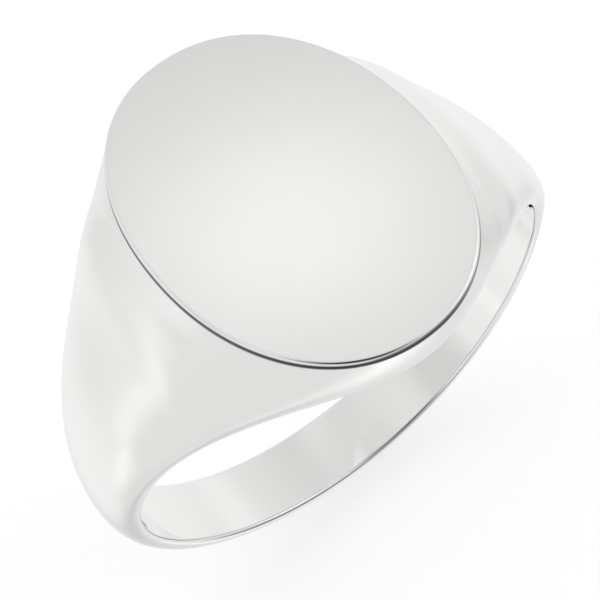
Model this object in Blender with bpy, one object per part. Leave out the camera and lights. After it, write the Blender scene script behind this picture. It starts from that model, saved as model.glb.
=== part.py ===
"""Signet ring with a flat oval face, made as a goldsmith makes it: face plate, head, shank and their solder.

+Z points out of the face and Y is the axis of the finger hole. The origin is the centre of the finger hole.
Angles round the ring are measured from the middle of the face (0 degrees) to the back of the finger (180).
All sizes are in metres.
"""

import math

import bmesh
import bpy
import numpy as np

MM = 0.001

# Finger hole: an inside diameter of 19.8 mm, US size 10.
FINGER_RADIUS = 9.9 * MM
RIM_ROUND = 0.24 * MM

# Oval face: half its length along the finger and half its width across it.
FACE_HALF_LENGTH = 7.1 * MM
FACE_HALF_WIDTH = 5.1 * MM
FACE_HEIGHT = 11.7 * MM
FACE_EXPONENT = 2.12
FACE_WALL = 0.22 * MM
FACE_BEVEL = 0.15 * MM

# Soldered joints.
PLATE_THICKNESS = 0.8 * MM
SOLDER_THICKNESS = 0.06 * MM
GAP = 0.02 * MM
SEAM_ANGLE_FROM_BACK = 62.0

# Half the ring's width at the edge of the finger hole, by angle.
RIM_HALF_WIDTH = ((0, 7.0 * MM), (25, 5.36 * MM), (50, 3.28 * MM), (75, 2.2 * MM), (105, 1.72 * MM),
                  (140, 1.7 * MM), (180, 1.76 * MM))
# Distance from the finger's axis to the middle of the outer surface, beyond the tips of the face.
CROWN_RADIUS = ((30, 12.2 * MM), (38, 11.62 * MM), (50, 11.25 * MM), (70, 11.12 * MM), (90, 11.05 * MM),
                (120, 11.25 * MM), (150, 11.35 * MM), (180, 11.35 * MM))
# How far the side leans out, in metres per metre of height above the finger hole.
SIDE_FLARE = ((0, 0.15), (24, 0.3), (38, 0.4), (55, 0.4), (80, 0.1), (105, 0.0), (180, 0.0))
# Fullness of the section over its crown and down its side: larger is squarer.
CROWN_FULLNESS = ((24, 0.62), (50, 0.7), (90, 0.62), (180, 0.66))
SIDE_FULLNESS = ((24, 0.6), (50, 0.7), (90, 0.6), (180, 0.72))

# Mesh density: sections over a quarter of the face, sections from the face's tip to the back, and points
# from the rim to the crown.
FACE_SECTIONS = 12
BAND_SECTIONS = 33
SIDE_POINTS = 12
RIM_POINTS = 3
INSIDE_POINTS = 4

MERGE_DISTANCE = 0.0002 * MM
CUTTER_REACH = 60 * MM

# How finely the surface is worked out: halvings of an interval, the highest that a hidden crown can be over
# the face's edge, and the steps over which a slope is taken.
HALVINGS = 36
CROWN_REACH = 12 * MM
SLOPE_STEP = math.radians(1)
CURVE_STEP = 0.002


def clear_scene():
    for obj in list(bpy.data.objects):
        bpy.data.objects.remove(obj, do_unlink=True)


def new_collection(name):
    collection = bpy.data.collections.new(name)
    bpy.context.scene.collection.children.link(collection)
    return collection


def spline(knots, start_slope=0.0):
    """A cubic spline through (angle in degrees, value) pairs, with a set slope at its start and flat at its end."""
    x = np.radians([angle for angle, _ in knots])
    y = np.array([value for _, value in knots])
    gaps = np.diff(x)
    slopes = np.diff(y) / gaps
    count = len(x)
    system = np.zeros((count, count))
    right = np.zeros(count)
    for i in range(1, count - 1):
        system[i, i - 1:i + 2] = gaps[i - 1], 2 * (gaps[i - 1] + gaps[i]), gaps[i]
        right[i] = 6 * (slopes[i] - slopes[i - 1])
    system[0, :2] = 2 * gaps[0], gaps[0]
    right[0] = 6 * (slopes[0] - start_slope)
    system[-1, -2:] = gaps[-1], 2 * gaps[-1]
    right[-1] = -6 * slopes[-1]
    bend = np.linalg.solve(system, right)

    def value(angle):
        angle = np.clip(angle, x[0], x[-1])
        i = np.clip(np.searchsorted(x, angle) - 1, 0, count - 2)
        before = x[i + 1] - angle
        after = angle - x[i]
        return ((bend[i] * before ** 3 + bend[i + 1] * after ** 3) / (6 * gaps[i])
                + (y[i] / gaps[i] - bend[i] * gaps[i] / 6) * before
                + (y[i + 1] / gaps[i] - bend[i + 1] * gaps[i] / 6) * after)

    return value


def halved(low, high, too_low):
    """The values between low and high at which too_low turns false, each found by halving its interval."""
    for _ in range(HALVINGS):
        middle = (low + high) / 2
        below = too_low(middle)
        low = np.where(below, middle, low)
        high = np.where(below, high, middle)
    return (low + high) / 2


def face_outline(turn):
    """Points (x, y) of the oval at a turn of 0 at its side tip and 90 degrees at its end tip."""
    across = np.maximum(np.cos(turn), 0)
    along = np.maximum(np.sin(turn), 0)
    reach = (across / FACE_HALF_WIDTH) ** FACE_EXPONENT + (along / FACE_HALF_LENGTH) ** FACE_EXPONENT
    reach **= -1 / FACE_EXPONENT
    return reach * across, reach * along


def outline_y(x):
    """Half the oval's length at a distance x from its long axis."""
    part = np.clip(x / FACE_HALF_WIDTH, 0, 1)
    return FACE_HALF_LENGTH * (1 - part ** FACE_EXPONENT) ** (1 / FACE_EXPONENT)


def outline_normal(x, y):
    """Outward unit normal of the oval at points in its first quarter."""
    normal = np.stack([x ** (FACE_EXPONENT - 1) / FACE_HALF_WIDTH ** FACE_EXPONENT,
                       y ** (FACE_EXPONENT - 1) / FACE_HALF_LENGTH ** FACE_EXPONENT])
    return normal / np.linalg.norm(normal, axis=0)


def bezier(points, s):
    a, b, c, d = points
    return (1 - s) ** 3 * a + 3 * (1 - s) ** 2 * s * b + 3 * (1 - s) * s ** 2 * c + s ** 3 * d


class RingShape:
    """The ring's outer form. Each section through the finger's axis is one curve, from the crown to the rim.

    Over the face the crown is hidden: it is where the curve would start if the face didn't cut its top off.
    """

    def __init__(self):
        self.shoulder_height = FACE_HEIGHT - FACE_WALL
        self.tip_angle = math.atan2(FACE_HALF_WIDTH, self.shoulder_height)
        self.half_width = spline(RIM_HALF_WIDTH)
        self.flare = spline(SIDE_FLARE)
        self.crown_fullness = spline(CROWN_FULLNESS)
        self.side_fullness = spline(SIDE_FULLNESS)
        tip_radius = math.hypot(FACE_HALF_WIDTH, self.shoulder_height)
        slope = (tip_radius - float(self.hidden_crown(self.tip_angle - SLOPE_STEP))) / SLOPE_STEP
        self.open_crown = spline(((math.degrees(self.tip_angle), tip_radius), *CROWN_RADIUS), slope)

    def section(self, angle, crown):
        """The radii and the widths of the curve's four control points."""
        width = self.half_width(angle)
        height = crown - FINGER_RADIUS
        rise = self.side_fullness(angle) * height
        radii = (crown, crown, FINGER_RADIUS + rise, FINGER_RADIUS + 0 * rise)
        widths = (0 * width, self.crown_fullness(angle) * width, width + self.flare(angle) * rise, width)
        return radii, widths

    def step_at(self, radii, radius):
        """How far along the curve, from 0 to 1, it comes down to a radius."""
        low = np.zeros(np.shape(radius))
        return halved(low, low + 1, lambda s: bezier(radii, s) > radius)

    def face_edge(self, angle):
        """Radius and y of the face's edge in the section at an angle."""
        radius = self.shoulder_height / np.cos(angle)
        return radius, outline_y(self.shoulder_height * np.tan(angle))

    def hidden_crown(self, angle):
        """The crown radius that leads the section through the face's edge."""
        radius, y = self.face_edge(angle)

        def too_low(crown):
            radii, widths = self.section(angle, crown)
            return bezier(widths, self.step_at(radii, radius)) < y

        return halved(radius, radius + CROWN_REACH, too_low)

    def crown(self, angle):
        inside = np.minimum(angle, self.tip_angle)
        return np.where(angle < self.tip_angle, self.hidden_crown(inside), self.open_crown(angle))

    def points(self, angle, s):
        """Points on the outer surface, s of the way from the crown to the rim."""
        radii, widths = self.section(angle, self.crown(angle))
        radius = bezier(radii, s)
        return np.stack([radius * np.sin(angle), bezier(widths, s), radius * np.cos(angle)], axis=-1)

    def line(self, start_angle, rim_angle, steps):
        """Points from the face's edge, or from the crown beyond its tip, down to the rounding of the rim."""
        start_angle = np.asarray(start_angle, float)
        radii, _ = self.section(start_angle, self.crown(start_angle))
        first = np.where(start_angle < self.tip_angle, self.step_at(radii, self.face_edge(start_angle)[0]), 0.0)
        radii, _ = self.section(rim_angle, self.crown(np.asarray(rim_angle)))
        last = self.step_at(radii, FINGER_RADIUS + RIM_ROUND)
        share = np.linspace(0, 1, steps)
        angle = start_angle + (rim_angle - start_angle) * share ** 2
        return self.points(angle, first + (last - first) * share)

    def rim(self, angle):
        """Points of the rounding between the side and the finger hole."""
        radii, widths = self.section(angle, self.crown(angle))
        last = self.step_at(radii, FINGER_RADIUS + RIM_ROUND)
        before, width = bezier(widths, last - CURVE_STEP), bezier(widths, last)
        slope = (width - before) / (bezier(radii, last) - bezier(radii, last - CURVE_STEP))
        corner = width - slope * RIM_ROUND
        share = np.linspace(0, 1, RIM_POINTS + 1)[1:]
        radius = FINGER_RADIUS + RIM_ROUND * (1 - share) ** 2
        y = (1 - share) ** 2 * width + 2 * (1 - share) * share * corner + share ** 2 * (corner - RIM_ROUND)
        return np.stack([radius * np.sin(angle), y, radius * np.cos(angle)], axis=-1)


def face_lines(shape):
    """(side points, wall points) of the lines that run from the face's edge to the finger hole."""
    lines = []
    for i in range(FACE_SECTIONS + 1):
        x, y = face_outline(math.pi / 2 * (1 - i / FACE_SECTIONS))
        x *= i > 0
        y *= i < FACE_SECTIONS
        rim_angle = shape.tip_angle * i / FACE_SECTIONS
        start_angle = min(math.atan2(x, shape.shoulder_height), shape.tip_angle)
        side = shape.line(start_angle, rim_angle, SIDE_POINTS + 1)
        side[0] = x, y, shape.shoulder_height
        inset = (x, y) - FACE_BEVEL * outline_normal(x, y)
        wall = np.array([(inset[0], 0, FACE_HEIGHT), (inset[0], inset[1], FACE_HEIGHT),
                         (x, y, FACE_HEIGHT - FACE_BEVEL), side[0]])
        lines.append((np.concatenate([side, shape.rim(rim_angle)]), wall))
    return lines


def band_lines(shape):
    """Side points of the lines that run from the crown to the finger hole, beyond the tip of the face."""
    angles = np.linspace(shape.tip_angle, math.pi, BAND_SECTIONS + 1)[1:]
    return [np.concatenate([shape.line(angle, angle, SIDE_POINTS + 1), shape.rim(angle)]) for angle in angles]


def add_strip(mesh, rows):
    """Quads between neighbouring rows of points."""
    verts = [[mesh.verts.new(point) for point in row] for row in rows]
    for first, second in zip(verts, verts[1:]):
        for k in range(len(first) - 1):
            mesh.faces.new((first[k], first[k + 1], second[k + 1], second[k]))


def ring_blank():
    """The whole ring as one closed mesh, before it is parted into its pieces."""
    shape = RingShape()
    head = face_lines(shape)
    sides = [side for side, _ in head] + band_lines(shape)
    insides = [np.linspace(side[-1], side[-1] * (1, 0, 1), INSIDE_POINTS) for side in sides]
    walls = [wall for _, wall in head]
    mesh = bmesh.new()
    for mirror_x in (1, -1):
        for mirror_y in (1, -1):
            for rows in (sides, insides, walls):
                add_strip(mesh, [row * (mirror_x, mirror_y, 1) for row in rows])
    bmesh.ops.remove_doubles(mesh, verts=mesh.verts, dist=MERGE_DISTANCE)
    bmesh.ops.dissolve_degenerate(mesh, edges=mesh.edges, dist=MERGE_DISTANCE)
    bmesh.ops.recalc_face_normals(mesh, faces=mesh.faces)
    blank = bpy.data.meshes.new("ring_blank")
    mesh.to_mesh(blank)
    mesh.free()
    return blank


def prism(name, outline, half_length, cutters):
    """A cutter: an outline of (x, z) points, extruded to both sides along Y."""
    mesh = bmesh.new()
    verts = [mesh.verts.new((x, -half_length, z)) for x, z in outline]
    face = mesh.faces.new(verts)
    grown = bmesh.ops.extrude_face_region(mesh, geom=[face])
    moved = [item for item in grown["geom"] if isinstance(item, bmesh.types.BMVert)]
    bmesh.ops.translate(mesh, verts=moved, vec=(0, 2 * half_length, 0))
    bmesh.ops.recalc_face_normals(mesh, faces=mesh.faces)
    data = bpy.data.meshes.new(name)
    mesh.to_mesh(data)
    mesh.free()
    cutter = bpy.data.objects.new(name, data)
    cutter.hide_render = True
    cutter.display_type = "WIRE"
    cutters.objects.link(cutter)
    return cutter


def slab(name, low, high, cutters):
    """A cutter between two heights."""
    outline = ((-CUTTER_REACH, low), (CUTTER_REACH, low), (CUTTER_REACH, high), (-CUTTER_REACH, high))
    return prism(name, outline, CUTTER_REACH, cutters)


def back_wedge(name, offset, cutters):
    """A cutter over the back of the ring, between its two seams. A positive offset makes it smaller."""
    seam = math.radians(SEAM_ANGLE_FROM_BACK)
    apex = -offset / math.sin(seam)
    side = CUTTER_REACH * math.sin(seam)
    base = apex - CUTTER_REACH * math.cos(seam)
    return prism(name, ((0, apex), (side, base), (-side, base)), CUTTER_REACH, cutters)


def seam_leaf(name, direction, cutters):
    """A thin cutter along one seam. direction is 1 for the +X side and -1 for the -X side."""
    seam = math.radians(SEAM_ANGLE_FROM_BACK)
    along = np.array([direction * math.sin(seam), -math.cos(seam)])
    across = np.array([direction * math.cos(seam), math.sin(seam)]) * SOLDER_THICKNESS / 2
    near = along * FINGER_RADIUS / 2
    far = along * CUTTER_REACH
    return prism(name, (near - across, far - across, far + across, near + across), CUTTER_REACH, cutters)


def polished_metal(name, colour, roughness):
    material = bpy.data.materials.new(name)
    material.use_nodes = True
    shader = material.node_tree.nodes["Principled BSDF"]
    shader.inputs["Base Color"].default_value = (*colour, 1)
    shader.inputs["Metallic"].default_value = 1
    shader.inputs["Roughness"].default_value = roughness
    return material


def add_piece(name, blank, cuts, material, ring):
    """One piece of the ring: the blank, cut by each (operation, cutter)."""
    piece = bpy.data.objects.new(name, blank.copy())
    piece.data.name = name
    ring.objects.link(piece)
    for operation, cutter in cuts:
        modifier = piece.modifiers.new(cutter.name, "BOOLEAN")
        modifier.operation = operation
        modifier.object = cutter
        modifier.solver = "EXACT"
    piece.data.shade_smooth()
    piece.data.set_sharp_from_angle(angle=math.radians(40))
    piece.data.materials.append(material)
    return piece


def main():
    clear_scene()
    ring = new_collection("signet_ring")
    cutters = new_collection("cutters")
    blank = ring_blank()
    silver = polished_metal("polished_silver", (0.93, 0.92, 0.9), 0.08)
    face_silver = polished_metal("polished_face", (0.93, 0.92, 0.9), 0.06)
    solder = polished_metal("silver_solder", (0.86, 0.85, 0.82), 0.2)

    plate_low = FACE_HEIGHT - PLATE_THICKNESS
    solder_high = plate_low - GAP
    solder_low = solder_high - SOLDER_THICKNESS
    head_high = solder_low - GAP
    seam_half = SOLDER_THICKNESS / 2 + GAP

    plate_cut = slab("plate_cutter", plate_low, CUTTER_REACH, cutters)
    solder_cut = slab("solder_cutter", solder_low, solder_high, cutters)
    head_cut = slab("head_cutter", head_high, CUTTER_REACH, cutters)
    back_cut = back_wedge("back_cutter", -seam_half, cutters)
    shank_cut = back_wedge("shank_cutter", seam_half, cutters)

    add_piece("face_plate", blank, [("INTERSECT", plate_cut)], face_silver, ring)
    add_piece("face_solder", blank, [("INTERSECT", solder_cut)], solder, ring)
    add_piece("signet_head", blank, [("DIFFERENCE", head_cut), ("DIFFERENCE", back_cut)], silver, ring)
    add_piece("shank", blank, [("INTERSECT", shank_cut)], silver, ring)
    for name, direction in (("right_solder_seam", 1), ("left_solder_seam", -1)):
        leaf = seam_leaf(name + "_cutter", direction, cutters)
        add_piece(name, blank, [("INTERSECT", leaf)], solder, ring)


main()
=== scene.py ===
"""The looks of the signet ring: smooth mirror-polished silver in a white studio.

The ring's form is the CAD part's own form at a much finer grain, with exact surface normals, so that it
reflects as polished metal does. +Z points out of the face and Y is the axis of the finger hole. The origin is
the centre of the finger hole. Angles round the ring run from the middle of the face (0) to its back (180).
"""

import math

import bmesh
import bpy
import numpy as np
from mathutils import Matrix, Vector


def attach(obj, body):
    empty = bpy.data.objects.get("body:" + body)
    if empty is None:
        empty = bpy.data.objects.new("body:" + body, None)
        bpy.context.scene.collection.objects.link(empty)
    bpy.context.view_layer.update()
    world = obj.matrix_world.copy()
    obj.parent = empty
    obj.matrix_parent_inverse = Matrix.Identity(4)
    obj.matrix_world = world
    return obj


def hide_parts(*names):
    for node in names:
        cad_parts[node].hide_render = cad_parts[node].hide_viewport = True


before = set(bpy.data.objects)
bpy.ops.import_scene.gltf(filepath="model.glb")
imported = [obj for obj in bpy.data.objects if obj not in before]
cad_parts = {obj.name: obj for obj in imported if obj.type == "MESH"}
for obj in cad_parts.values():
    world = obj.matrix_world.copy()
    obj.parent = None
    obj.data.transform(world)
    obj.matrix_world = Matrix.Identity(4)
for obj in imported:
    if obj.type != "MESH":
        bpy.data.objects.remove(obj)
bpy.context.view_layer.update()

MM = 0.001

# Finger hole: an inside diameter of 19.8 mm, US size 10.
FINGER_RADIUS = 9.9 * MM
RIM_ROUND = 0.24 * MM

# Oval face: half its length along the finger and half its width across it.
FACE_HALF_LENGTH = 7.1 * MM
FACE_HALF_WIDTH = 5.1 * MM
FACE_HEIGHT = 11.7 * MM
FACE_EXPONENT = 2.12
FACE_WALL = 0.22 * MM
FACE_BEVEL = 0.15 * MM
SHOULDER_HEIGHT = FACE_HEIGHT - FACE_WALL

# Soldered joints. Each piece of solder fills the whole joint here, so the polished ring shows no seam.
PLATE_THICKNESS = 0.8 * MM
SOLDER_THICKNESS = 0.1 * MM
SEAM_ANGLE_FROM_BACK = 62.0

# Half the ring's width at the edge of the finger hole, by angle.
RIM_HALF_WIDTH = ((0, 7.0 * MM), (25, 5.36 * MM), (50, 3.28 * MM), (75, 2.2 * MM), (105, 1.72 * MM),
                  (140, 1.7 * MM), (180, 1.76 * MM))
# Distance from the finger's axis to the middle of the outer surface, beyond the tips of the face.
CROWN_RADIUS = ((30, 12.2 * MM), (38, 11.62 * MM), (50, 11.25 * MM), (70, 11.12 * MM), (90, 11.05 * MM),
                (120, 11.25 * MM), (150, 11.35 * MM), (180, 11.35 * MM))
# How far the side leans out, in metres per metre of height above the finger hole.
SIDE_FLARE = ((0, 0.15), (24, 0.3), (38, 0.4), (55, 0.4), (80, 0.1), (105, 0.0), (180, 0.0))
# Fullness of the section over its crown and down its side: larger is squarer.
CROWN_FULLNESS = ((24, 0.62), (50, 0.7), (90, 0.62), (180, 0.66))
SIDE_FULLNESS = ((24, 0.6), (50, 0.7), (90, 0.6), (180, 0.72))

# Mesh density: lines over a quarter of the face, lines from the face's tip to the back, and points along
# the lines on each stretch of the surface.
FACE_LINES = 72
BAND_LINES = 150
SIDE_POINTS = 36
RIM_POINTS = 6
INSIDE_POINTS = 10
TOP_POINTS = 10
BEVEL_POINTS = 8

MERGE_DISTANCE = 0.0001 * MM

# How finely the surface is worked out: halvings of an interval, how far above the face's edge a hidden crown
# can be, and the steps over which a slope is taken.
HALVINGS = 32
CROWN_REACH = 12 * MM
SLOPE_STEP = math.radians(1)
CURVE_STEP = 0.002
NORMAL_STEP = 0.0005

NORMAL_LAYER = "exact_normal"
PLANE_TOLERANCE = 0.00001 * MM
CAP_TOLERANCE = 0.0002 * MM

# Polished silver: its colour where it is cleanest and dullest, and its finish. Scales are in features a
# metre: the strokes of the polishing wheel are long and narrow, the haze is broad.
SILVER = (0.945, 0.943, 0.935)
SILVER_DULL = (0.915, 0.91, 0.9)
ROUGHNESS = 0.05
HAZE_SCALE = (420, 420, 420)
HAZE_DETAIL = 4
STROKE_DETAIL = 3
STROKE_SCALE = (900, 9000, 900)
FACE_STROKE_SCALE = (9000, 700, 900)
STROKE_HEIGHT = 0.00006 * MM
GLOSS_CHANGE = 0.45
# Painted shade in the corner under the face's edge, a dark line where shade falls: its colour, how far below
# the face it starts and is full, and how far below the foot of the low wall it ends.
PAINTED_SHADE = (0.02, 0.02, 0.02)
PAINTED_SHADE_START = 0.06 * MM
PAINTED_SHADE_FULL = 0.11 * MM
PAINTED_SHADE_FADE = 0.05 * MM

# Camera: its place, its right and its backward direction, and its lens and sensor in millimetres.
CAMERA_PLACE = (-8.51 * MM, -17.8 * MM, 37.92 * MM)
CAMERA_RIGHT = (0.7948, -0.594, -0.1242)
CAMERA_BACK = (-0.2092, -0.4603, 0.8628)
CAMERA_LENS = 61.8
CAMERA_SENSOR = 36
NEAREST_SEEN = 1 * MM
FURTHEST_SEEN = 10

# Floor: white paper. The camera sees it glow a little, so that it is as white there as the photo's ground.
FLOOR_HEIGHT = -11.35 * MM
FLOOR_RADIUS = 2.0
FLOOR_SIDES = 96
FLOOR_WHITE = 0.9
FLOOR_GLOW = 0.425

# The studio is a light tent. Each patch of it has an azimuth (0 towards -Y, 90 towards +X), an elevation, a
# width and a height in degrees, and how much brighter or darker than the tent it is. Soft patches fade out
# slowly and firm ones have a firmer edge. HORIZON keeps a patch from dividing by zero a right angle away.
TENT_LEVEL = 0.8
TENT_DARKEST = 0.02
HORIZON = 0.001
SOFT_PATCHES = (
    (154.5, 55.5, 11, 8, 0.28),  # softbox that the face reflects
    (153, 51, 29, 24, -0.13),    # its grey frame
    (-119, 4, 15, 19, 0.07),     # soft lamp on the left
    (-114, 14, 8, 8, 0.06),      # strip of lamps that comes down from it towards the front
    (-113, -3, 6, 9, 0.07),
    (-109, -11, 5.5, 6, 0.1),
    (-104, -20, 4.5, 6, 0.12),
    (-99, -29, 6, 8, 0.11),
    (-85, -72, 30, 9, -0.16),    # shade under the ring
    (-76, -48, 16, 12, -0.05),   # grey card at the front left
    (-2, -60, 22, 11, 0.27),     # white card low at the front
    (92, -37, 7, 9, -0.12),      # grey card low on the right
    (110, 4, 8, 12, 0.12),       # strip lamp on the right
    (72, 34, 18, 20, 0.3),       # lamp high on the right
)
FIRM_PATCHES = (
    (-132, -42, 35, 27, 0.13),   # white card low on the left
    (130, -32, 25, 34, 0.11),    # white card low on the right
    (18, -4, 43, 34, -0.55),     # black card at the front
    (-112, 34, 12, 18, -0.12),   # grey card high on the left
    (-28, 58, 27, 27, -0.76),    # the dark side of the room, behind the photo's camera
)


# ---------------------------------------------------------------------------------------------------------
# Form
# ---------------------------------------------------------------------------------------------------------

def spline(knots, start_slope=0.0):
    """A cubic spline through (angle in degrees, value) pairs, with a set slope at its start, flat at its end.

    The slope is per radian.
    """
    x = np.radians([angle for angle, _ in knots])
    y = np.array([value for _, value in knots])
    gaps = np.diff(x)
    slopes = np.diff(y) / gaps
    count = len(x)
    system = np.zeros((count, count))
    right = np.zeros(count)
    for i in range(1, count - 1):
        system[i, i - 1:i + 2] = gaps[i - 1], 2 * (gaps[i - 1] + gaps[i]), gaps[i]
        right[i] = 6 * (slopes[i] - slopes[i - 1])
    system[0, :2] = 2 * gaps[0], gaps[0]
    right[0] = 6 * (slopes[0] - start_slope)
    system[-1, -2:] = gaps[-1], 2 * gaps[-1]
    right[-1] = -6 * slopes[-1]
    bend = np.linalg.solve(system, right)

    def value(angle):
        angle = np.clip(angle, x[0], x[-1])
        i = np.clip(np.searchsorted(x, angle) - 1, 0, count - 2)
        before = x[i + 1] - angle
        after = angle - x[i]
        return ((bend[i] * before ** 3 + bend[i + 1] * after ** 3) / (6 * gaps[i])
                + (y[i] / gaps[i] - bend[i] * gaps[i] / 6) * before
                + (y[i + 1] / gaps[i] - bend[i + 1] * gaps[i] / 6) * after)

    return value


def halved(low, high, too_low):
    """The values between low and high at which too_low turns false, each found by halving its interval."""
    for _ in range(HALVINGS):
        middle = (low + high) / 2
        below = too_low(middle)
        low = np.where(below, middle, low)
        high = np.where(below, high, middle)
    return (low + high) / 2


def face_outline(turn):
    """Points (x, y) of the oval at a turn of 0 at its side tip and 90 degrees at its end tip."""
    across = np.maximum(np.cos(turn), 0)
    along = np.maximum(np.sin(turn), 0)
    reach = (across / FACE_HALF_WIDTH) ** FACE_EXPONENT + (along / FACE_HALF_LENGTH) ** FACE_EXPONENT
    reach **= -1 / FACE_EXPONENT
    return reach * across, reach * along


def outline_y(x):
    """Half the oval's length at a distance x from its long axis."""
    part = np.clip(x / FACE_HALF_WIDTH, 0, 1)
    return FACE_HALF_LENGTH * (1 - part ** FACE_EXPONENT) ** (1 / FACE_EXPONENT)


def outline_normal(x, y):
    """Outward unit normal of the oval at points in its first quarter."""
    normal = np.stack([x ** (FACE_EXPONENT - 1) / FACE_HALF_WIDTH ** FACE_EXPONENT,
                       y ** (FACE_EXPONENT - 1) / FACE_HALF_LENGTH ** FACE_EXPONENT])
    return normal / np.linalg.norm(normal, axis=0)


def bezier(points, s):
    """The place at s, from 0 to 1, on the cubic curve with these four control points."""
    a, b, c, d = points
    return (1 - s) ** 3 * a + 3 * (1 - s) ** 2 * s * b + 3 * (1 - s) * s ** 2 * c + s ** 3 * d


def unit(vectors):
    return vectors / np.linalg.norm(vectors, axis=-1, keepdims=True)


class RingShape:
    """The ring's outer form. Each section through the finger's axis is one curve, from the crown to the rim.

    Over the face the crown is hidden: it is where the curve would start if the face didn't cut its top off.
    """

    def __init__(self):
        self.tip_angle = math.atan2(FACE_HALF_WIDTH, SHOULDER_HEIGHT)
        self.half_width = spline(RIM_HALF_WIDTH)
        self.flare = spline(SIDE_FLARE)
        self.crown_fullness = spline(CROWN_FULLNESS)
        self.side_fullness = spline(SIDE_FULLNESS)
        tip_radius = math.hypot(FACE_HALF_WIDTH, SHOULDER_HEIGHT)
        slope = (tip_radius - float(self.hidden_crown(self.tip_angle - SLOPE_STEP))) / SLOPE_STEP
        self.open_crown = spline(((math.degrees(self.tip_angle), tip_radius), *CROWN_RADIUS), slope)

    def section(self, angle, crown):
        """The radii and the widths of the curve's four control points."""
        width = self.half_width(angle)
        height = crown - FINGER_RADIUS
        rise = self.side_fullness(angle) * height
        radii = (crown, crown, FINGER_RADIUS + rise, FINGER_RADIUS + 0 * rise)
        widths = (0 * width, self.crown_fullness(angle) * width, width + self.flare(angle) * rise, width)
        return radii, widths

    def step_at(self, radii, radius):
        """How far along the curve, from 0 to 1, it comes down to a radius."""
        low = np.zeros(np.shape(radius))
        return halved(low, low + 1, lambda s: bezier(radii, s) > radius)

    def face_edge(self, angle):
        """Radius and y of the face's edge in the section at an angle."""
        radius = SHOULDER_HEIGHT / np.cos(angle)
        return radius, outline_y(SHOULDER_HEIGHT * np.tan(angle))

    def hidden_crown(self, angle):
        """The crown radius that leads the section through the face's edge."""
        radius, y = self.face_edge(angle)

        def too_low(crown):
            radii, widths = self.section(angle, crown)
            return bezier(widths, self.step_at(radii, radius)) < y

        return halved(radius, radius + CROWN_REACH, too_low)

    def crown(self, angle):
        inside = np.minimum(angle, self.tip_angle)
        return np.where(angle < self.tip_angle, self.hidden_crown(inside), self.open_crown(angle))

    def side(self, angle, s):
        """Points on the outer surface, s of the way from the crown to the rim."""
        radii, widths = self.section(np.abs(angle), self.crown(np.abs(angle)))
        return on_ring(angle, bezier(radii, s), bezier(widths, s))

    def rim(self, angle, share):
        """Points of the rounding between the side and the finger hole."""
        radii, widths = self.section(np.abs(angle), self.crown(np.abs(angle)))
        last = self.step_at(radii, FINGER_RADIUS + RIM_ROUND)
        before, width = bezier(widths, last - CURVE_STEP), bezier(widths, last)
        slope = (width - before) / (bezier(radii, last) - bezier(radii, last - CURVE_STEP))
        corner = width - slope * RIM_ROUND
        radius = FINGER_RADIUS + RIM_ROUND * (1 - share) ** 2
        y = (1 - share) ** 2 * width + 2 * (1 - share) * share * corner + share ** 2 * (corner - RIM_ROUND)
        return on_ring(angle, radius, y)

    def side_grid(self, start_angle, rim_angle):
        """(angle, s) along lines from the face's edge, or from the crown beyond its tip, down to the rim."""
        radii, _ = self.section(start_angle, self.crown(start_angle))
        edge_radius, _ = self.face_edge(np.minimum(start_angle, self.tip_angle))
        first = np.where(start_angle < self.tip_angle, self.step_at(radii, edge_radius), 0.0)
        radii, _ = self.section(rim_angle, self.crown(rim_angle))
        last = self.step_at(radii, FINGER_RADIUS + RIM_ROUND)
        share = np.linspace(0, 1, SIDE_POINTS + 1)
        angle = start_angle[:, None] + (rim_angle - start_angle)[:, None] * share ** 2
        return angle, first[:, None] + (last - first)[:, None] * share


def on_ring(angle, radius, y):
    """Points at an angle round the finger hole, a radius from its axis and y along it."""
    return np.stack([radius * np.sin(angle), y + 0 * radius, radius * np.cos(angle)], axis=-1)


def surface_normals(surface, a, b):
    """Unit normals of surface(a, b), from small steps to both sides."""
    first = surface(a + NORMAL_STEP, b) - surface(a - NORMAL_STEP, b)
    second = surface(a, b + NORMAL_STEP) - surface(a, b - NORMAL_STEP)
    return unit(np.cross(first, second))


def quarter_patches():
    """(points, normals) grids that make up one quarter of the ring."""
    shape = RingShape()
    turn = np.linspace(math.pi / 2, 0, FACE_LINES + 1)
    x, y = face_outline(turn)
    x[0] = y[-1] = 0
    face_angle = np.minimum(np.arctan2(x, SHOULDER_HEIGHT), shape.tip_angle)
    face_angle[-1] = shape.tip_angle
    band_angle = np.linspace(shape.tip_angle, math.pi, BAND_LINES + 1)[1:]
    start_angle = np.concatenate([face_angle, band_angle])
    rim_angle = np.concatenate([np.linspace(0, shape.tip_angle, FACE_LINES + 1), band_angle])

    angle, s = shape.side_grid(start_angle, rim_angle)
    side = shape.side(angle, s)
    side[:FACE_LINES + 1, 0] = np.stack([x, y, 0 * x + SHOULDER_HEIGHT], axis=-1)
    patches = [(side, surface_normals(shape.side, angle, s))]

    angle, share = np.broadcast_arrays(rim_angle[:, None], np.linspace(0, 1, RIM_POINTS + 1))
    rim = shape.rim(angle, share)
    rim[:, 0] = side[:, -1]
    patches.append((rim, surface_normals(shape.rim, angle, share)))

    share = np.linspace(1, 0, INSIDE_POINTS + 1)
    inside = rim[:, -1, None] * np.stack([0 * share + 1, share, 0 * share + 1], axis=-1)
    patches.append((inside, unit(inside * (-1, 0, -1))))
    return patches + face_patches(x, y)


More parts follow.
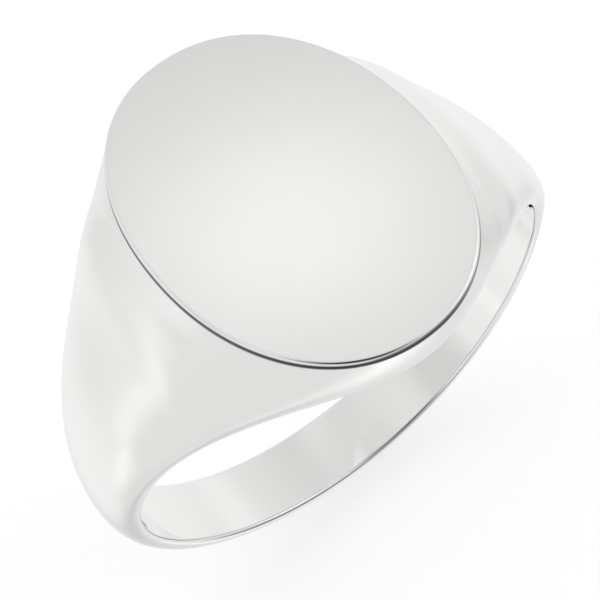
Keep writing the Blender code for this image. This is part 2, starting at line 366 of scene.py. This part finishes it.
def face_patches(x, y):
    """(points, normals) grids of the flat top, its rounded edge and the upright wall under it."""
    out = np.concatenate([outline_normal(x, y), [0 * x]]).T
    up = np.array([0.0, 0.0, 1.0])
    middle = np.stack([x, y, 0 * x + FACE_HEIGHT - FACE_BEVEL], axis=-1) - FACE_BEVEL * out
    bend = np.linspace(0, math.pi / 2, BEVEL_POINTS + 1)[:, None]
    bevel_normals = out[:, None] * np.sin(bend) + up * np.cos(bend)
    bevel = middle[:, None] + FACE_BEVEL * bevel_normals
    share = np.linspace(0, 1, TOP_POINTS + 1)[:, None]
    top = bevel[:, :1] * np.concatenate([0 * share + 1, share, 0 * share + 1], axis=1)
    foot = np.stack([x, y, 0 * x + SHOULDER_HEIGHT], axis=-1)
    wall = np.stack([bevel[:, -1], foot], axis=1)
    return [(top, np.broadcast_to(up, top.shape)), (bevel, bevel_normals),
            (wall, np.broadcast_to(out[:, None], wall.shape))]


def ring_mesh():
    """The whole ring as a closed bmesh. A corner's exact normal is in its loop layer."""
    points, faces, corners = [], [], []
    for grid, normals in quarter_patches():
        rows, columns = grid.shape[:2]
        index = np.arange(rows * columns).reshape(rows, columns)
        quads = np.stack([index[:-1, :-1], index[1:, :-1], index[1:, 1:], index[:-1, 1:]], axis=-1)
        quads = quads.reshape(-1, 4)
        for mirror in ((1, 1, 1), (-1, 1, 1), (1, -1, 1), (-1, -1, 1)):
            faces.append(quads + sum(map(len, points)))
            points.append(grid.reshape(-1, 3) * mirror)
            corners.append((normals.reshape(-1, 3) * mirror)[quads.ravel()])
    data = bpy.data.meshes.new("ring_blank")
    data.from_pydata(np.concatenate(points).tolist(), [], np.concatenate(faces).tolist())
    layer = data.attributes.new(NORMAL_LAYER, "FLOAT_VECTOR", "CORNER")
    layer.data.foreach_set("vector", np.concatenate(corners).ravel())
    mesh = bmesh.new()
    mesh.from_mesh(data)
    bpy.data.meshes.remove(data)
    bmesh.ops.remove_doubles(mesh, verts=mesh.verts, dist=MERGE_DISTANCE)
    bmesh.ops.recalc_face_normals(mesh, faces=mesh.faces)
    return mesh


# ---------------------------------------------------------------------------------------------------------
# Pieces
# ---------------------------------------------------------------------------------------------------------

class Joint:
    """A plane that parts the ring. side is 0 for a level plane, 1 or -1 for a seam on the +X or -X side."""

    def __init__(self, normal, offset, side=0):
        self.normal = np.array(normal, float)
        self.offset = offset
        self.side = side

    def reaches(self, place):
        return self.side == 0 or (place[0] * self.side > 0 and place[2] < 0)

    def below(self, place):
        return self.reaches(place) and float(self.normal @ place) < self.offset

    def cut(self, mesh):
        faces = [face for face in mesh.faces if self.reaches(face.calc_center_median())]
        edges = {edge for face in faces for edge in face.edges}
        verts = {vert for face in faces for vert in face.verts}
        bmesh.ops.bisect_plane(mesh, geom=[*verts, *edges, *faces], dist=PLANE_TOLERANCE,
                               plane_co=self.normal * self.offset, plane_no=self.normal)

    def cap(self, mesh):
        """Closes the open edges that lie on the plane."""
        edges = [edge for edge in mesh.edges if edge.is_boundary and all(map(self.holds, edge.verts))]
        if not edges:
            return
        made = bmesh.ops.triangle_fill(mesh, edges=edges, use_beauty=True)
        layer = mesh.loops.layers.float_vector[NORMAL_LAYER]
        faces = [item for item in made["geom"] if isinstance(item, bmesh.types.BMFace)]
        bmesh.ops.recalc_face_normals(mesh, faces=mesh.faces)
        for face in faces:
            for loop in face.loops:
                loop[layer] = face.normal

    def holds(self, vert):
        distance = abs(float(self.normal @ np.array(vert.co)) - self.offset)
        return distance < CAP_TOLERANCE and self.reaches(vert.co)


def seam(side, offset):
    """One face of the solder seam between shoulder and shank, an offset from the seam's middle."""
    angle = math.radians(SEAM_ANGLE_FROM_BACK)
    return Joint((side * math.cos(angle), 0, math.sin(angle)), offset, side)


def piece_of(name, blank, joints, belongs, replaced, material):
    """The part of the ring whose faces belong to one piece, closed where it meets its neighbours."""
    mesh = blank.copy()
    for joint in joints:
        joint.cut(mesh)
    away = [face for face in mesh.faces if not belongs(np.array(face.calc_center_median()))]
    bmesh.ops.delete(mesh, geom=away, context="FACES")
    for joint in joints:
        joint.cap(mesh)
    data = bpy.data.meshes.new(name)
    mesh.to_mesh(data)
    mesh.free()
    corners = np.zeros(len(data.loops) * 3)
    data.attributes[NORMAL_LAYER].data.foreach_get("vector", corners)
    data.attributes.remove(data.attributes[NORMAL_LAYER])
    data.shade_smooth()
    data.normals_split_custom_set(unit(corners.reshape(-1, 3)).tolist())
    data.materials.append(material)
    piece = bpy.data.objects.new(name, data)
    bpy.context.scene.collection.objects.link(piece)
    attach(piece, "root")
    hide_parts(replaced)


def make_pieces():
    blank = ring_mesh()
    plate_low = Joint((0, 0, 1), FACE_HEIGHT - PLATE_THICKNESS)
    solder_low = Joint((0, 0, 1), plate_low.offset - SOLDER_THICKNESS)
    over = {side: seam(side, SOLDER_THICKNESS / 2) for side in (1, -1)}
    under = {side: seam(side, -SOLDER_THICKNESS / 2) for side in (1, -1)}
    silver = polished_silver("polished_silver", STROKE_SCALE)
    # The face's silver carries painted shade: a dark line on the low wall under the face's edge.
    face_silver = polished_silver("polished_face", FACE_STROKE_SCALE, with_painted_shade=True)
    solder = polished_silver("silver_solder", STROKE_SCALE)

    piece_of("face_plate_polished", blank, [plate_low], lambda p: not plate_low.below(p),
             "face_plate", face_silver)
    piece_of("face_solder_polished", blank, [plate_low, solder_low],
             lambda p: plate_low.below(p) and not solder_low.below(p), "face_solder", solder)
    piece_of("signet_head_polished", blank, [solder_low, over[1], over[-1]],
             lambda p: solder_low.below(p) and not (over[1].below(p) or over[-1].below(p)),
             "signet_head", silver)
    piece_of("shank_polished", blank, [under[1], under[-1]],
             lambda p: under[1].below(p) or under[-1].below(p), "shank", silver)
    for side, node in ((1, "right_solder_seam"), (-1, "left_solder_seam")):
        piece_of(node + "_polished", blank, [over[side], under[side]],
                 lambda p, side=side: over[side].below(p) and not under[side].below(p),
                 node, solder)
    blank.free()


# ---------------------------------------------------------------------------------------------------------
# Materials
# ---------------------------------------------------------------------------------------------------------

class NodeMaths:
    """Short calls for the maths nodes of one node tree."""

    def __init__(self, tree):
        self.tree = tree

    def node(self, kind, operation, *values):
        node = self.tree.nodes.new(kind)
        node.operation = operation
        for socket, value in zip(node.inputs, values):
            if isinstance(value, bpy.types.NodeSocket):
                self.tree.links.new(value, socket)
            else:
                socket.default_value = value
        return node

    def maths(self, operation, *values):
        return self.node("ShaderNodeMath", operation, *values).outputs["Value"]

    def dot(self, vector, direction):
        return self.node("ShaderNodeVectorMath", "DOT_PRODUCT", vector, direction).outputs["Value"]


def noise(tree, scale, detail):
    """A noise value over the piece, near 0.5, at its own scale along each axis."""
    place = tree.nodes.new("ShaderNodeTexCoord")
    stretch = tree.nodes.new("ShaderNodeMapping")
    stretch.inputs["Scale"].default_value = scale
    texture = tree.nodes.new("ShaderNodeTexNoise")
    texture.inputs["Scale"].default_value = 1
    texture.inputs["Detail"].default_value = detail
    tree.links.new(place.outputs["Object"], stretch.inputs["Vector"])
    tree.links.new(stretch.outputs["Vector"], texture.inputs["Vector"])
    return texture.outputs["Fac"]


def ranged(tree, value, start, end, low=0, high=1):
    """Low where a value is at start or before it, high where it is at end or past it, and even between."""
    share = tree.nodes.new("ShaderNodeMapRange")
    for name, limit in (("From Min", start), ("From Max", end), ("To Min", low), ("To Max", high)):
        share.inputs[name].default_value = limit
    tree.links.new(value, share.inputs["Value"])
    return share.outputs["Result"]


def mixed(tree, factor, first, second):
    """A colour between two, each a colour or a socket."""
    mix = tree.nodes.new("ShaderNodeMix")
    mix.data_type = "RGBA"
    tree.links.new(factor, mix.inputs["Factor"])
    for name, colour in (("A", first), ("B", second)):
        if isinstance(colour, bpy.types.NodeSocket):
            tree.links.new(colour, mix.inputs[name])
        else:
            mix.inputs[name].default_value = (*colour, 1)
    return mix.outputs["Result"]


def painted_corner_shade(tree):
    """How much painted shade darkens the low wall under the face, from 0 to 1."""
    place = tree.nodes.new("ShaderNodeTexCoord")
    parts = tree.nodes.new("ShaderNodeSeparateXYZ")
    tree.links.new(place.outputs["Object"], parts.inputs["Vector"])
    height = parts.outputs["Z"]
    above = ranged(tree, height, FACE_HEIGHT - PAINTED_SHADE_START, FACE_HEIGHT - PAINTED_SHADE_FULL)
    below = ranged(tree, height, SHOULDER_HEIGHT - PAINTED_SHADE_FADE, SHOULDER_HEIGHT)
    return NodeMaths(tree).maths("MULTIPLY", above, below)


def polished_silver(name, stroke_scale, with_painted_shade=False):
    """Silver off the polishing wheel: faint strokes, a broad thin haze, and gloss that changes with both."""
    material = bpy.data.materials.new(name)
    material.use_nodes = True
    tree = material.node_tree
    shader = tree.nodes["Principled BSDF"]
    shader.inputs["Metallic"].default_value = 1
    maths = NodeMaths(tree)
    haze = noise(tree, HAZE_SCALE, HAZE_DETAIL)
    strokes = noise(tree, stroke_scale, STROKE_DETAIL)

    colour = mixed(tree, haze, SILVER, SILVER_DULL)
    # Painted shade: a near-black line on the low wall under the face's edge, where the corner lies in shade.
    if with_painted_shade:
        colour = mixed(tree, painted_corner_shade(tree), colour, PAINTED_SHADE)
    tree.links.new(colour, shader.inputs["Base Color"])

    average = maths.maths("MULTIPLY", maths.maths("ADD", haze, strokes), 0.5)
    gloss = ranged(tree, average, 0, 1, ROUGHNESS * (1 - GLOSS_CHANGE), ROUGHNESS * (1 + GLOSS_CHANGE))
    tree.links.new(gloss, shader.inputs["Roughness"])

    bump = tree.nodes.new("ShaderNodeBump")
    bump.inputs["Distance"].default_value = STROKE_HEIGHT
    tree.links.new(strokes, bump.inputs["Height"])
    tree.links.new(bump.outputs["Normal"], shader.inputs["Normal"])
    return material


# ---------------------------------------------------------------------------------------------------------
# Studio
# ---------------------------------------------------------------------------------------------------------

def direction_of(azimuth, elevation):
    """Unit vector: azimuth 0 is towards -Y, 90 is towards +X, in degrees."""
    azimuth, elevation = math.radians(azimuth), math.radians(elevation)
    return Vector((math.sin(azimuth) * math.cos(elevation), -math.cos(azimuth) * math.cos(elevation),
                   math.sin(elevation)))


def glow(maths, direction, patch, firmness):
    """Light that fades away from the middle of an oval patch of the tent. More firmness is a firmer edge."""
    azimuth, elevation, width, height, strength = patch
    middle = direction_of(azimuth, elevation)
    across = direction_of(azimuth + 90, 0)
    up = middle.cross(across).normalized()
    reach = maths.maths("MAXIMUM", maths.dot(direction, middle), HORIZON)
    x = maths.maths("DIVIDE", maths.dot(direction, across / math.tan(math.radians(width))), reach)
    y = maths.maths("DIVIDE", maths.dot(direction, up / math.tan(math.radians(height))), reach)
    spread = maths.maths("ADD", maths.maths("MULTIPLY", x, x), maths.maths("MULTIPLY", y, y))
    spread = maths.maths("POWER", spread, firmness)
    fade = maths.maths("EXPONENT", maths.maths("MULTIPLY", spread, -1))
    return maths.maths("MULTIPLY", fade, strength)


def make_world():
    """A light tent: a plain level with lamps and cards round it. The camera itself sees plain white."""
    world = bpy.data.worlds.new("studio")
    world.use_nodes = True
    tree = world.node_tree
    maths = NodeMaths(tree)
    direction = tree.nodes.new("ShaderNodeTexCoord").outputs["Generated"]
    level = TENT_LEVEL
    for patches, firmness in ((SOFT_PATCHES, 1), (FIRM_PATCHES, 2)):
        for patch in patches:
            level = maths.maths("ADD", level, glow(maths, direction, patch, firmness))
    level = maths.maths("MAXIMUM", level, TENT_DARKEST)
    seen = tree.nodes.new("ShaderNodeLightPath").outputs["Is Camera Ray"]
    level = maths.maths("MAXIMUM", level, seen)
    tree.links.new(level, tree.nodes["Background"].inputs["Strength"])
    tree.nodes["Background"].inputs["Color"].default_value = (1, 1, 1, 1)
    bpy.context.scene.world = world


def make_floor():
    """White paper that keeps the ring's shadow. The metal reflects the tent and not the paper."""
    mesh = bmesh.new()
    bmesh.ops.create_circle(mesh, cap_ends=True, segments=FLOOR_SIDES, radius=FLOOR_RADIUS)
    bmesh.ops.translate(mesh, verts=mesh.verts, vec=(0, 0, FLOOR_HEIGHT))
    data = bpy.data.meshes.new("floor")
    mesh.to_mesh(data)
    mesh.free()
    floor = bpy.data.objects.new("floor", data)
    floor.visible_glossy = False
    bpy.context.scene.collection.objects.link(floor)
    material = bpy.data.materials.new("floor_paper")
    material.use_nodes = True
    tree = material.node_tree
    shader = tree.nodes["Principled BSDF"]
    shader.inputs["Base Color"].default_value = (FLOOR_WHITE, FLOOR_WHITE, FLOOR_WHITE, 1)
    shader.inputs["Roughness"].default_value = 1
    shader.inputs["Specular IOR Level"].default_value = 0
    shader.inputs["Emission Color"].default_value = (1, 1, 1, 1)
    seen = tree.nodes.new("ShaderNodeLightPath").outputs["Is Camera Ray"]
    glowing = NodeMaths(tree).maths("MULTIPLY", seen, FLOOR_GLOW)
    tree.links.new(glowing, shader.inputs["Emission Strength"])
    data.materials.append(material)


def make_camera():
    data = bpy.data.cameras.new("camera")
    data.lens = CAMERA_LENS
    data.sensor_width = CAMERA_SENSOR
    data.clip_start = NEAREST_SEEN
    data.clip_end = FURTHEST_SEEN
    camera = bpy.data.objects.new("camera", data)
    bpy.context.scene.collection.objects.link(camera)
    right = Vector(CAMERA_RIGHT).normalized()
    back = Vector(CAMERA_BACK).normalized()
    up = back.cross(right).normalized()
    right = up.cross(back)
    turn = Matrix((right, up, back)).transposed()
    camera.matrix_world = Matrix.Translation(Vector(CAMERA_PLACE)) @ turn.to_4x4()
    bpy.context.scene.camera = camera


def main():
    bpy.context.scene.view_settings.view_transform = "Standard"
    make_pieces()
    make_world()
    make_floor()
    make_camera()


main()
